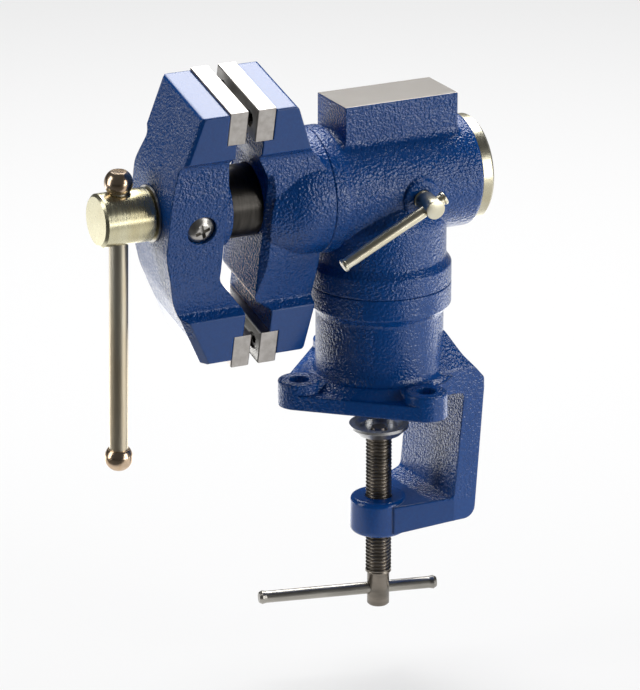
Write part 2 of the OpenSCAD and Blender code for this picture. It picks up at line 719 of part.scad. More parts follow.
// Turn of the cross recess, in degrees
cross_turn = 20;

module slide_tube() color(dark_steel) at_head() difference() {
    rod_x(tube_r, tube_front, tube_rear);
    rod_x(tube_bore_r, tube_front - cut, tube_rear + cut);
    at_tube_screw() cylinder(d = tube_screw_d + 2 * fit_gap, h = boss_r);
    // Groove for the guide key, open at the rear end
    translate([boss_rear_x, -key_w / 2 - run_gap, -tube_r - cut])
        cube([tube_rear - boss_rear_x + cut, key_w + 2 * run_gap, key_h / 2 + run_gap + cut]);
}

module guide_key() color(dull_steel) at_head()
    translate([disc_front + (disc_t - key_l) / 2, -key_w / 2, -tube_r - key_h / 2])
        cube([key_l, key_w, key_h]);

// Round body of the fixed jaw, widening to the seam, with its shaft
module fixed_core() {
    turned_x(outline([
        [disc_front, 0], [disc_front, half_w + corner_r / 3, corner_r], [disc_front + disc_t * 0.6, head_ring_r, disc_t],
        [disc_rear, head_ring_r, cast_fillet / 8], [disc_rear, shaft_r], [shaft_rear, shaft_r], [shaft_rear, 0]
    ]));
}

module fixed_jaw() color(enamel) at_head() {
    top_rear = fixed_upper_seat + fixed_top_t;
    waist = head_ring_r * 0.72;
    shoulder_x = top_rear + (block_top - upper_step) * tan(rear_slope);
    heel_x = fixed_lower_seat + plate_t + plate_proud;
    chest = lower_step * 0.92;
    difference() {
        union() {
            intersection() {
                across(outline([
                    [fixed_upper_seat, block_top], [top_rear, block_top, corner_r],
                    [shoulder_x, upper_step, step_r * 2], [block_rear, waist, step_r],
                    [block_rear, -lower_step, corner_r], [heel_x, -block_bottom, corner_r],
                    [fixed_lower_seat, -block_bottom], [fixed_lower_seat, lower_plate_head],
                    [fixed_lower_face, lower_plate_head], [fixed_lower_face, -lower_step, corner_r / 2],
                    [disc_front, -chest, step_r], [disc_front, boss_r, step_r],
                    [fixed_upper_face, upper_step - corner_r, step_r], [fixed_upper_face, upper_plate_foot],
                    [fixed_upper_seat, upper_plate_foot]
                ]), jaw_w);
                along(jaw_front_view(), upper_fixed_x, 0);
            }
            fixed_core();
        }
        for (turn = [0, 1]) mirror([0, turn, 0])
            edge_cutter([disc_front, boss_r], [disc_front, -chest], cheek_half_w, front_bevel);
        rod_x(tube_r + run_gap, upper_fixed_x - cut, shaft_rear + cut);
        translate([disc_front + (disc_t - key_l) / 2 - fit_gap, -key_w / 2 - fit_gap, -tube_r - key_h / 2 - fit_gap])
            cube([key_l + 2 * fit_gap, key_w + 2 * fit_gap, key_h]);
        plate_screw_holes(fixed_upper_seat, fixed_lower_seat, -1);
        at_cap_screws() translate([0, 0, -cap_screw_l]) cylinder(d = cap_screw_d + 2 * fit_gap, h = cap_screw_l + cut);
    }
}

// Sizes of the three countersunk screws that hold the end cap
cap_screw_d = 4;
cap_screw_l = 17;
cap_screw_circle_r = tube_r + (shaft_r - tube_r) / 2;

// The three cap screws, from the outer face of the cap
module at_cap_screws() for (turn = [90, 210, 330]) rotate([turn, 0, 0])
    translate([cap_front + cap_t, 0, cap_screw_circle_r]) rotate([0, 90, 0]) children();

module cap_screw_solid(gap, over) {
    translate([0, 0, -cap_screw_l]) cylinder(d = cap_screw_d + 2 * gap, h = cap_screw_l - cap_screw_d / 2 + gap);
    translate([0, 0, -cap_screw_d / 2]) cylinder(d1 = cap_screw_d + 2 * gap, d2 = 2 * cap_screw_d + 2 * gap, h = cap_screw_d / 2);
    if (over > 0) cylinder(d = 2 * cap_screw_d + 2 * gap, h = over);
}

module main_nut() color(dull_steel) at_head() difference() {
    turned_x([[nut_front, 0], [nut_front, nut_r - corner_r / 3], [nut_front + corner_r / 3, nut_r],
              [shaft_rear, nut_r], [shaft_rear, shaft_r - face_gap], [cap_front, shaft_r - face_gap], [cap_front, 0]]);
    rod_x(main_d / 2 + run_gap, nut_front - cut, cap_front + cut);
    at_cap_screws() cap_screw_solid(fit_gap, 0);
}

module end_cap() color(yellow_zinc) at_head() difference() {
    turned_x([[cap_front, 0], [cap_front, cap_r], [cap_front + cap_t - cap_bevel, cap_r],
              [cap_front + cap_t, cap_r - cap_bevel], [cap_front + cap_t, 0]]);
    at_cap_screws() cap_screw_solid(fit_gap, cut);
}

module end_cap_screws() color(bright_zinc) at_head() at_cap_screws() difference() {
    cap_screw_solid(0, 0);
    for (turn = [0, 90]) rotate([0, 0, turn])
        cube([cap_screw_d * 1.2, cap_screw_d / 5, cap_screw_d / 2], center = true);
}

// A jaw plate from its seat to its clamping face, with two counterbored screw holes
module jaw_plate(seat, foot, out) color(ground_steel) at_head() difference() {
    translate([seat + out * plate_t / 2, 0, foot + plate_h / 2]) cube([plate_t, jaw_w, plate_h], center = true);
    for (w = [-plate_screw_half, plate_screw_half])
        translate([seat + out * plate_t, w, foot + plate_h / 2]) rotate([0, out * 90, 0]) {
            translate([0, 0, -plate_t - cut]) cylinder(d = plate_screw_d + 2 * fit_gap, h = plate_t + cut);
            translate([0, 0, -plate_screw_sink - plate_screw_head_h])
                cylinder(d = plate_screw_head_d + 2 * head_gap, h = plate_screw_sink + plate_screw_head_h + cut);
        }
}

module plate_screw_pair(seat, foot, out) for (w = [-plate_screw_half, plate_screw_half])
    translate([seat + out * (plate_t - plate_screw_sink), w, foot + plate_h / 2]) rotate([0, out * 90, 0])
        difference() {
            union() {
                translate([0, 0, -plate_screw_head_h]) cylinder(d = plate_screw_head_d, h = plate_screw_head_h);
                translate([0, 0, -plate_screw_head_h - plate_screw_l]) cylinder(d = plate_screw_d, h = plate_screw_l);
            }
            translate([0, 0, -plate_screw_head_h * 0.6])
                cylinder(d = plate_screw_d * 0.92, h = plate_screw_head_h, $fn = 6);
        }

// Holes in a jaw casting behind both plates, where out is +1 when the clamping face looks to +X
module plate_screw_holes(upper_seat, lower_seat, out) {
    depth = plate_screw_l + plate_screw_head_h + plate_screw_sink - plate_t + head_gap;
    for (w = [-plate_screw_half, plate_screw_half], place = [[upper_seat, upper_plate_foot], [lower_seat, -plate_bottom]])
        translate([place[0] + out * cut, w, place[1] + plate_h / 2]) rotate([0, -out * 90, 0])
            cylinder(d = plate_screw_d + 2 * fit_gap, h = depth + cut);
}

module upper_plate_fixed() jaw_plate(fixed_upper_seat, upper_plate_foot, -1);
module lower_plate_fixed() jaw_plate(fixed_lower_seat, -plate_bottom, -1);
module upper_plate_moving() jaw_plate(moving_upper_seat, upper_plate_foot, 1);
module lower_plate_moving() jaw_plate(moving_lower_seat, -plate_bottom, 1);
module fixed_plate_screws() color(dark_steel) at_head() {
    plate_screw_pair(fixed_upper_seat, upper_plate_foot, -1);
    plate_screw_pair(fixed_lower_seat, -plate_bottom, -1);
}
module moving_plate_screws() color(dark_steel) at_head() {
    plate_screw_pair(moving_upper_seat, upper_plate_foot, 1);
    plate_screw_pair(moving_lower_seat, -plate_bottom, 1);
}

// The retaining collar sits behind the front wall of the boss
retainer_front = tube_front + face_gap;
retainer_pin_x = retainer_front + retainer_l / 2;

module retainer_pin_hole(gap) translate([retainer_pin_x, 0, 0]) rotate([90, 0, 0])
    cylinder(d = pin_d + 2 * gap, h = 2 * retainer_r + (gap > 0 ? cut : 0), center = true);

module main_screw() color(yellow_zinc) translate([0, 0, axis_h]) difference() {
    edge = head_r / 10;
    turned_x([
        [head_front, 0], [head_front, head_r - edge], [head_front + edge, head_r],
        [head_rear - edge, head_r], [head_rear, head_r - edge], [head_rear, main_d / 2],
        [main_rear - edge, main_d / 2], [main_rear, main_d / 2 - edge], [main_rear, 0]
    ]);
    translate([handle_x, 0, 0]) rotate([handle_lean, 0, 0])
        cylinder(d = bar_d + 2 * run_gap, h = 2 * head_r + cut, center = true);
    retainer_pin_hole(fit_gap);
}

module thrust_washer() color(dull_steel) translate([0, 0, axis_h]) difference() {
    rod_x(washer_r, head_rear + face_gap / 2, head_rear + face_gap / 2 + washer_t);
    rod_x(main_d / 2 + run_gap, head_rear - cut, boss_front_x);
}

module retaining_collar() color(dull_steel) translate([0, 0, axis_h]) difference() {
    rod_x(retainer_r, retainer_front, retainer_front + retainer_l);
    rod_x(main_d / 2 + fit_gap, retainer_front - cut, retainer_front + retainer_l + cut);
    retainer_pin_hole(fit_gap);
}

module collar_pin() color(dark_steel) translate([0, 0, axis_h]) retainer_pin_hole(0);

// The bar hangs down with its upper ball on the round head
ball_top_h = head_r + ball_seat + face_gap;
module at_handle()
    translate([handle_x, 0, axis_h]) rotate([handle_lean, 0, 0]) translate([0, 0, ball_top_h]) children();

module handle_bar() color(dull_steel) at_handle() translate([0, 0, -bar_l]) cylinder(d = bar_d, h = bar_l);

// A ball with its seat at -Z, its outer flat at +Z and a blind hole for the bar
module handle_ball() difference() {
    steps = 20;
    low = -asin(ball_seat / ball_r);
    high = asin(ball_flat / ball_r);
    rotate_extrude() polygon(concat(
        [[0, -ball_seat]],
        [for (i = [0:steps]) ball_r * [cos(low + (high - low) * i / steps), sin(low + (high - low) * i / steps)]],
        [[0, ball_flat]]
    ));
    translate([0, 0, -ball_r]) cylinder(d = bar_d + 2 * fit_gap, h = ball_r);
}

module handle_ball_top() color(bright_zinc) at_handle() handle_ball();
module handle_ball_bottom() color(copper_finish) at_handle() translate([0, 0, -bar_l]) mirror([0, 0, 1]) handle_ball();

// Clamp screw, from the pad down
pad_neck_r = clamp_d / 4;
pad_recess_r = pad_r * 0.65;
pad_wall = pad_h * 0.3;
pad_under = -bench_t - pad_h;
clamp_thread_top = pad_under - face_gap;
clamp_thread_foot = clamp_thread_top - clamp_thread_l;
tbar_h = clamp_thread_foot - collar_l / 2;

module clamp_pad() color(bright_zinc) rotate_extrude() polygon([
    [pad_neck_r + run_gap, pad_under], [pad_recess_r + pad_wall, pad_under], [pad_r, -bench_t - pad_wall],
    [pad_r, -bench_t], [pad_r - pad_wall * 2, -bench_t], [pad_recess_r, -bench_t - pad_wall],
    [pad_recess_r, pad_under + pad_wall], [pad_neck_r + run_gap, pad_under + pad_wall]
]);

module clamp_screw() color(dark_steel) difference() {
    peen = pad_under + pad_wall + face_gap;
    rotate_extrude() polygon([
        [0, clamp_thread_foot - collar_l], [collar_d / 2 - pad_wall / 2, clamp_thread_foot - collar_l],
        [collar_d / 2, clamp_thread_foot - collar_l + pad_wall / 2],
        [collar_d / 2, clamp_thread_foot], [clamp_d / 2, clamp_thread_foot + (clamp_d - collar_d) / 2],
        [clamp_d / 2, clamp_thread_top], [pad_neck_r, clamp_thread_top],
        [pad_neck_r, peen], [pad_neck_r * 1.35, peen], [pad_neck_r * 1.1, peen + pad_wall], [0, peen + pad_wall]
    ]);
    translate([0, 0, tbar_h]) rotate([0, 90, -tbar_turn])
        cylinder(d = tbar_d + 2 * run_gap, h = collar_d + cut, center = true);
}

module clamp_bar() color(dull_steel) translate([0, 0, tbar_h]) rotate([0, 90, -tbar_turn])
    translate([0, 0, -tbar_l / 2 - tbar_shift]) rotate_extrude() {
        bead = tbar_d * 0.07;
        polygon(outline([
            [0, 0], [tbar_d / 2 - bead, 0], [tbar_d / 2 + bead, tbar_d / 4], [tbar_d / 2, tbar_d * 0.6],
            [tbar_d / 2, tbar_l - tbar_d * 0.6], [tbar_d / 2 + bead, tbar_l - tbar_d / 4],
            [tbar_d / 2 - bead, tbar_l], [0, tbar_l]
        ]));
    }

base_casting();
swivel_casting();
pivot_bolt();
pivot_washer();
swivel_lock_screw();
swivel_lock_lever();
head_lock_screw();
head_lock_lever();
fixed_jaw();
guide_key();
main_nut();
end_cap();
end_cap_screws();
upper_plate_fixed();
lower_plate_fixed();
fixed_plate_screws();
moving_jaw();
slide_tube();
tube_screw();
upper_plate_moving();
lower_plate_moving();
moving_plate_screws();
main_screw();
thrust_washer();
retaining_collar();
collar_pin();
handle_bar();
handle_ball_top();
handle_ball_bottom();
clamp_pad();
clamp_screw();
clamp_bar();
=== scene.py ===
# Articulating vise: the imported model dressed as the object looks, with its studio floor, lamps and camera.
# Sizes are in metres. The head frame has its origin on the barrel axis and is rolled about +X.

import math

import bmesh
import bpy
from mathutils import Matrix, Vector


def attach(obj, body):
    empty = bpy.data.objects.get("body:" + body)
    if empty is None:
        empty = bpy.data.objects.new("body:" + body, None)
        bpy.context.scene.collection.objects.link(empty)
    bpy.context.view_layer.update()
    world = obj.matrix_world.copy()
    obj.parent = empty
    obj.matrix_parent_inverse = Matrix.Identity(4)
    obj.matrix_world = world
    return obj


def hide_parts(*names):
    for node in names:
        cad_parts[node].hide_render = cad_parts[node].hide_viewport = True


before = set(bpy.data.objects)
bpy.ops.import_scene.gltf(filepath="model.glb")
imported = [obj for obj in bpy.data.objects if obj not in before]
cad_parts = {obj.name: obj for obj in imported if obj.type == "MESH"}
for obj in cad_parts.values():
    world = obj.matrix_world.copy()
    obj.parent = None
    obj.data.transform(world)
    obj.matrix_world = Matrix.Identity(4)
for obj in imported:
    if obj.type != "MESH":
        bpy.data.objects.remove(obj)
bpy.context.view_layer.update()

# Studio: a pale floor that runs out of view on every side, low enough for the clamp screw's whole
# travel, an overhead box lamp behind the vise, and an upright and a low box lamp beside it. The room in
# front of the vise and to its left is dark, so the floor glows in the vise's reflections only behind it
# and to its right.
mm = 0.001
barrel_height = 116.5 * mm
floor_height = -158.9 * mm
floor_reach, floor_corners = 9.0, 64
floor_dark, floor_white = 0.10, 0.86
pale = 0.92
glow_share = 0.70


def new_material(name):
    """A new material, its node tree and its Principled shader."""
    material = bpy.data.materials.new(name)
    material.use_nodes = True
    tree = material.node_tree
    return material, tree, tree.nodes["Principled BSDF"]


def add(tree, kind, **values):
    """A node whose sockets or settings are given by name."""
    node = tree.nodes.new(kind)
    for key, value in values.items():
        if key in node.inputs:
            node.inputs[key].default_value = value
        else:
            setattr(node, key, value)
    return node


def join(tree, source, target):
    tree.links.new(source, target)


def combine(tree, operation, *terms):
    """The output of a maths node whose terms are sockets or plain numbers."""
    node = add(tree, "ShaderNodeMath", operation=operation)
    for socket, term in zip(node.inputs, terms):
        if isinstance(term, (int, float)):
            socket.default_value = term
        else:
            join(tree, term, socket)
    return node.outputs[0]


def stretch(tree, value, low, high, to_low=0.0, to_high=1.0):
    """The output of a node that carries the span from low to high over to that from to_low to to_high."""
    node = add(tree, "ShaderNodeMapRange", clamp=True)
    for key, number in (("From Min", low), ("From Max", high), ("To Min", to_low), ("To Max", to_high)):
        node.inputs[key].default_value = number
    join(tree, value, node.inputs["Value"])
    return node.outputs[0]


def along(tree, place, direction):
    """The output of a node that measures how far a place lies in a direction."""
    node = add(tree, "ShaderNodeVectorMath", operation="DOT_PRODUCT")
    node.inputs[1].default_value = direction
    join(tree, place, node.inputs[0])
    return node.outputs["Value"]


def two_tone(tree, factor, one, two):
    """The output of a node that mixes two colours."""
    node = add(tree, "ShaderNodeMix", data_type="RGBA")
    node.inputs["A"].default_value = (*one, 1)
    node.inputs["B"].default_value = (*two, 1)
    join(tree, factor, node.inputs["Factor"])
    return node.outputs["Result"]


def grey(value):
    return (value, value, value)


floor_mesh = bpy.data.meshes.new("studio_floor")
rim_angles = [2 * math.pi * k / floor_corners for k in range(floor_corners)]
ring = [(floor_reach * math.cos(angle), floor_reach * math.sin(angle), floor_height) for angle in rim_angles]
floor_mesh.from_pydata(ring, [], [list(range(floor_corners))])
studio_floor = bpy.data.objects.new("studio_floor", floor_mesh)
bpy.context.scene.collection.objects.link(studio_floor)
floor_paint, tree, shader = new_material("floor_paint")
shader.inputs["Roughness"].default_value = 0.9
shader.inputs["Specular IOR Level"].default_value = 0.1

# The floor is white past a line that crosses it in front of the vise, and for the camera all over. In
# the vise's reflections it glows past that line, most in a band some way straight back.
back_x, back_y = 0.443, 0.896
line_slant = 0.62
line_from, line_to = -0.315, -0.20
floor_place = add(tree, "ShaderNodeTexCoord").outputs["Object"]
behind = along(tree, floor_place, (back_x + back_y * line_slant, back_y - back_x * line_slant, 0))
lit = stretch(tree, behind, line_from, line_to)
rays = add(tree, "ShaderNodeLightPath").outputs
lit_or_seen = combine(tree, "MAXIMUM", lit, rays["Is Camera Ray"])
white = two_tone(tree, lit_or_seen, grey(floor_dark), grey(floor_white))
join(tree, white, shader.inputs["Base Color"])
seen = combine(tree, "MAXIMUM", rays["Is Camera Ray"], rays["Is Transmission Ray"])
mirrored = combine(tree, "MULTIPLY", rays["Is Glossy Ray"], lit)
share = combine(tree, "MULTIPLY", combine(tree, "MAXIMUM", seen, mirrored), glow_share)
near_glow, band_glow, beyond_glow, far_glow = 0.26, 0.98, 0.30, 0.14
mirror_gain = 3.9
band = add(tree, "ShaderNodeValToRGB")
for place, value in ((0.12, near_glow), (0.235, band_glow), (0.33, band_glow), (0.49, beyond_glow),
                     (0.95, far_glow)):
    stop = band.color_ramp.elements.new(place)
    stop.color = (*grey(value), 1)
band.color_ramp.elements[0].color = (*grey(near_glow), 1)
band.color_ramp.elements[-1].color = (*grey(far_glow), 1)
join(tree, along(tree, floor_place, (back_x, back_y, 0)), band.inputs["Fac"])
brighter = add(tree, "ShaderNodeMix", data_type="FLOAT")
brighter.inputs["A"].default_value = 1.0
join(tree, mirrored, brighter.inputs["Factor"])
join(tree, combine(tree, "MULTIPLY", band.outputs["Color"], mirror_gain), brighter.inputs["B"])
glow = add(tree, "ShaderNodeEmission")
glow.inputs["Color"].default_value = (*grey(pale), 1)
join(tree, brighter.outputs[0], glow.inputs["Strength"])
blend = add(tree, "ShaderNodeMixShader")
join(tree, share, blend.inputs["Fac"])
join(tree, shader.outputs[0], blend.inputs[1])
join(tree, glow.outputs[0], blend.inputs[2])
join(tree, blend.outputs[0], tree.nodes["Material Output"].inputs["Surface"])
floor_mesh.materials.append(floor_paint)

# The air round the vise gives it a faint cool light, and the camera sees it as pale as the floor.
air_light, air_seen = 0.07, 0.95
world = bpy.data.worlds.new("studio_air")
bpy.context.scene.world = world
world.use_nodes = True
air = world.node_tree
air.nodes["Background"].inputs["Color"].default_value = (0.93, 0.95, 1.0, 1)
air_rays = add(air, "ShaderNodeLightPath").outputs
air_strength = stretch(air, air_rays["Is Camera Ray"], 0.0, 1.0, air_light, air_seen)
join(air, air_strength, air.nodes["Background"].inputs["Strength"])

# Lamps: soft boxes of a width, a height and a power in watts, all turned to the middle of the vise.
aim = Vector((-20 * mm, 0, 60 * mm))


def box_lamp(name, place, width, height, power):
    """A soft rectangular lamp that faces the vise."""
    lamp = bpy.data.lights.new(name, "AREA")
    lamp.shape = "RECTANGLE"
    lamp.size, lamp.size_y, lamp.energy = width, height, power
    holder = bpy.data.objects.new(name, lamp)
    bpy.context.scene.collection.objects.link(holder)
    facing = (Vector(place) - aim).to_track_quat("Z", "Y").to_matrix().to_4x4()
    holder.matrix_world = Matrix.Translation(place) @ facing


box_lamp("lamp_overhead", (0.35, 0.70, 1.20), 1.3, 1.0, 30)
box_lamp("lamp_left", (-1.35, 0.35, 0.40), 0.6, 1.4, 8.5)
box_lamp("lamp_right", (0.95, -1.25, 0.38), 0.75, 0.9, 9.5)
box_lamp("lamp_low", (0.50, -1.00, 0.0), 0.7, 0.2, 1.5)

scene = bpy.context.scene
scene.view_settings.view_transform = "Standard"

# Camera: a long lens from the left of the barrel and above it, as in the photograph.
swing, rise = math.radians(26.32), math.radians(19.51)
reach, off_right, off_up = 2.3705, 0.03153, 0.08718
back = Vector((-math.sin(swing) * math.cos(rise), -math.cos(swing) * math.cos(rise), math.sin(rise)))
right = Vector((math.cos(swing), -math.sin(swing), 0))
up = back.cross(right)
lens = bpy.data.cameras.new("camera")
lens.sensor_fit = "VERTICAL"
lens.sensor_height = 36.0
lens.lens = 235.57
lens.clip_end = 60
camera = bpy.data.objects.new("camera", lens)
scene.collection.objects.link(camera)
spot = Vector((0, 0, barrel_height)) + reach * back - off_right * right - off_up * up
turn = Matrix((right, up, back)).transposed().to_4x4()
camera.matrix_world = Matrix.Translation(spot) @ turn
scene.camera = camera

# Base casting: iron cast in sand in one piece with its clamp frame, ground on the sides of the frame
# and on the arm below its throat, and dipped in blue enamel, which shows the sand's grain elsewhere.
base_turn = math.radians(3.2)
head_roll = math.radians(13.7)


def enamel(name, turn_about, angle, side=None, side_from=None, top=None):
    """Blue enamel over cast iron. What lies past side, from the height side_from up and down, and what
    lies past top, up or down, was ground before painting and carries less grain. Sides without a
    side_from keep half of it."""
    material, tree, shader = new_material(name)
    place = add(tree, "ShaderNodeTexCoord").outputs["Object"]
    lift = add(tree, "ShaderNodeVectorMath", operation="SUBTRACT")
    lift.inputs[1].default_value = (0, 0, barrel_height)
    join(tree, place, lift.inputs[0])
    unrolled = add(tree, "ShaderNodeVectorRotate", rotation_type=turn_about + "_AXIS")
    unrolled.inputs["Angle"].default_value = -angle
    join(tree, lift.outputs[0], unrolled.inputs["Vector"])
    parts = add(tree, "ShaderNodeSeparateXYZ")
    join(tree, unrolled.outputs[0], parts.inputs[0])
    across, height = parts.outputs["Y"], parts.outputs["Z"]
    edge = 0.5 * mm

    def within(value, limit):
        """1 nearer to the middle than the limit and 0 past it, both ways."""
        return stretch(tree, combine(tree, "ABSOLUTE", value), limit, limit - edge)

    def noise(scale, detail):
        node = add(tree, "ShaderNodeTexNoise", Scale=scale, Detail=detail, Roughness=0.5)
        join(tree, place, node.inputs["Vector"])
        return node.outputs["Fac"]

    cast = 1.0
    if side is not None:
        kept = 0.5 if side_from is None else within(height, side_from)
        cast = combine(tree, "MAXIMUM", within(across, side), kept)
    if top is not None:
        cast = combine(tree, "MULTIPLY", cast, within(height, top))
    grain, pebble, swell = noise(740.0, 1.0), noise(1500.0, 1.0), noise(70.0, 2.0)
    patches = stretch(tree, swell, 0.35, 0.62, 0.75, 1.0)
    depth = combine(tree, "MULTIPLY", patches, cast)
    deep = combine(tree, "MULTIPLY_ADD", depth, 0.85, 0.05)
    both = combine(tree, "MULTIPLY_ADD", pebble, 0.08, grain)
    rounded = add(tree, "ShaderNodeBevel", samples=6)
    rounded.inputs["Radius"].default_value = 1.3 * mm
    sand = add(tree, "ShaderNodeBump", Distance=1.00 * mm)
    join(tree, deep, sand.inputs["Strength"])
    join(tree, both, sand.inputs["Height"])
    join(tree, rounded.outputs[0], sand.inputs["Normal"])
    join(tree, sand.outputs[0], shader.inputs["Normal"])
    blue = two_tone(tree, grain, (0.0015, 0.050, 0.225), (0.002, 0.072, 0.310))
    join(tree, blue, shader.inputs["Base Color"])
    join(tree, stretch(tree, grain, 0.0, 1.0, 0.10, 0.22), shader.inputs["Roughness"])
    shader.inputs["Specular IOR Level"].default_value = 0.5
    return material, tree, shader


def dress(node, material):
    """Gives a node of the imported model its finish."""
    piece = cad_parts[node]
    if not piece.material_slots:
        piece.data.materials.append(material)
    for holder in piece.material_slots:
        holder.material = material


frame_side, throat_depth = 28.3 * mm, 61 * mm
base_enamel = enamel("base_enamel", "Z", base_turn, side=frame_side, top=barrel_height + throat_depth)[0]
dress("base_casting", base_enamel)

# Clamp screw: a steel screw with a rolled 2 mm thread, blackened, with a turned collar that the bar
# passes through. The pad is pressed zinc-plated steel, held by the peened end of the screw. Its zinc is
# painted darker than plain zinc all over: painted shade for the dark reflection of the base's underside.
clamp_top, clamp_foot, collar_foot = -25.65 * mm, -105.45 * mm, -124.45 * mm
clamp_bar_height = -114.95 * mm
clamp_bar_turn = math.radians(-13)
clamp_r, collar_r, stem_r = 7.1 * mm, 6.0 * mm, 3.55 * mm
clamp_pitch, clamp_thread_depth = 2.0 * mm, 1.15 * mm
cross_hole_r, through = 3.3 * mm, 20 * mm


def turned(name, rows, matrix, threads=(), around=64, crease=32):
    """A piece turned from rows of (radius, height). threads lists (low, high, pitch, depth)."""
    verts, faces = [], []
    for radius, height in rows:
        for k in range(around):
            angle = 2 * math.pi * k / around
            cut = 0.0
            for low, high, pitch, depth in threads:
                if low <= height <= high:
                    fade = min(1.0, (height - low) / pitch, (high - height) / pitch)
                    phase = ((height - low) / pitch - angle / (2 * math.pi)) % 1.0
                    cut = depth * fade * min(1.0, 1.25 * (1 - abs(2 * phase - 1)))
            verts.append(((radius - cut) * math.cos(angle), (radius - cut) * math.sin(angle), height))
    for row in range(len(rows) - 1):
        for k in range(around):
            a, b = row * around + k, row * around + (k + 1) % around
            faces.append((a, b, b + around, a + around))
    faces.append(tuple(reversed(range(around))))
    faces.append(tuple(range((len(rows) - 1) * around, len(rows) * around)))
    mesh = bpy.data.meshes.new(name)
    mesh.from_pydata(verts, [], faces)
    return finished(name, mesh, matrix, crease)


def finished(name, mesh, matrix, crease):
    """Puts a mesh in its place with its curved faces smooth and its edges crisp."""
    mesh.transform(matrix)
    mesh.update()
    mesh.validate()
    mesh.shade_smooth()
    mesh.set_sharp_from_angle(angle=math.radians(crease))
    piece = bpy.data.objects.new(name, mesh)
    scene.collection.objects.link(piece)
    return piece


def thread_rows(radius, low, high, pitch, steps=10):
    """Rows close enough together to carry a thread."""
    count = max(2, round((high - low) / pitch * steps))
    return [(radius, low + (high - low) * k / count) for k in range(count + 1)]


def drilled(piece, matrix, radius, length, crease=32, sides=48):
    """Cuts a round hole, centred on the matrix and along its Z axis."""
    tool_mesh = bpy.data.meshes.new("drill")
    form = bmesh.new()
    bmesh.ops.create_cone(form, cap_ends=True, segments=sides, radius1=radius, radius2=radius, depth=length)
    form.to_mesh(tool_mesh)
    form.free()
    tool_mesh.transform(matrix)
    tool = bpy.data.objects.new("drill", tool_mesh)
    scene.collection.objects.link(tool)
    hole = piece.modifiers.new("hole", "BOOLEAN")
    hole.operation, hole.solver, hole.object = "DIFFERENCE", "EXACT", tool
    bpy.context.view_layer.update()
    result = bpy.data.meshes.new_from_object(piece.evaluated_get(bpy.context.evaluated_depsgraph_get()))
    piece.modifiers.clear()
    piece.data = result
    bpy.data.objects.remove(tool)
    result.shade_smooth()
    result.set_sharp_from_angle(angle=math.radians(crease))
    return piece


def metal(name, colour, colour_two, roughness, streak=(60.0, 60.0, 60.0), spread=0.12, grain=0.03, bevel=0.3):
    """Bare or plated steel: two tones that drift into each other, fine tool marks and rounded edges."""
    material, tree, shader = new_material(name)
    shader.inputs["Metallic"].default_value = 1.0
    place = add(tree, "ShaderNodeTexCoord").outputs["Object"]
    scaled = add(tree, "ShaderNodeMapping")
    scaled.inputs["Scale"].default_value = streak
    join(tree, place, scaled.inputs["Vector"])
    drift = add(tree, "ShaderNodeTexNoise", Scale=1.0, Detail=3.0, Roughness=0.6)
    join(tree, scaled.outputs[0], drift.inputs["Vector"])
    tone = stretch(tree, drift.outputs["Fac"], 0.36, 0.64)
    join(tree, two_tone(tree, tone, colour, colour_two), shader.inputs["Base Color"])
    marks = add(tree, "ShaderNodeTexNoise", Scale=14.0, Detail=2.0, Roughness=0.6)
    join(tree, scaled.outputs[0], marks.inputs["Vector"])
    dull = stretch(tree, marks.outputs["Fac"], 0.0, 1.0, roughness - spread / 2, roughness + spread / 2)
    join(tree, dull, shader.inputs["Roughness"])
    rounded = add(tree, "ShaderNodeBevel", samples=4)
    rounded.inputs["Radius"].default_value = bevel * mm
    scratch = add(tree, "ShaderNodeBump", Strength=1.0, Distance=grain * mm)
    join(tree, marks.outputs["Fac"], scratch.inputs["Height"])
    join(tree, rounded.outputs[0], scratch.inputs["Normal"])
    join(tree, scratch.outputs[0], shader.inputs["Normal"])
    return material, tree, shader


screw_black = metal("screw_black", (0.15, 0.135, 0.115), (0.25, 0.22, 0.185), 0.32, (40, 40, 160))[0]
thread_foot, thread_top = clamp_foot + 0.6 * mm, clamp_top - 0.4 * mm
clamp_rows = ([(collar_r - 0.8 * mm, collar_foot), (collar_r, collar_foot + 0.8 * mm),
               (collar_r, clamp_foot - 0.6 * mm), (clamp_r, clamp_foot + 0.5 * mm)]
              + thread_rows(clamp_r, thread_foot, thread_top, clamp_pitch)
              + [(clamp_r - 0.5 * mm, clamp_top), (stem_r, clamp_top), (stem_r, clamp_top + 1.95 * mm),
                 (stem_r + 1.2 * mm, clamp_top + 1.95 * mm), (stem_r + 0.3 * mm, clamp_top + 3.5 * mm)])
clamp_thread = turned("clamp_thread", clamp_rows, Matrix.Identity(4),
                      [(thread_foot, thread_top, clamp_pitch, clamp_thread_depth)], around=56, crease=50)
bar_line = Matrix.Rotation(clamp_bar_turn, 4, "Z") @ Matrix.Rotation(math.radians(90), 4, "Y")
bar_place = Matrix.Translation((0, 0, clamp_bar_height)) @ bar_line
drilled(clamp_thread, bar_place, cross_hole_r, through, crease=50)
clamp_thread.data.materials.append(screw_black)
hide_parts("clamp_screw")
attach(clamp_thread, "clamp")

bar_steel = metal("bar_steel", (0.30, 0.285, 0.255), (0.42, 0.40, 0.36), 0.30, (30, 160, 160))[0]
dress("clamp_bar", bar_steel)
# The pad's colour is set darker than plain zinc: painted shade for the dark reflection of the base's underside.
pad_zinc_painted_dark = metal("pad_zinc_painted_dark", (0.42, 0.42, 0.42), (0.58, 0.58, 0.57), 0.30, (120, 120, 120))[0]
dress("clamp_pad", pad_zinc_painted_dark)

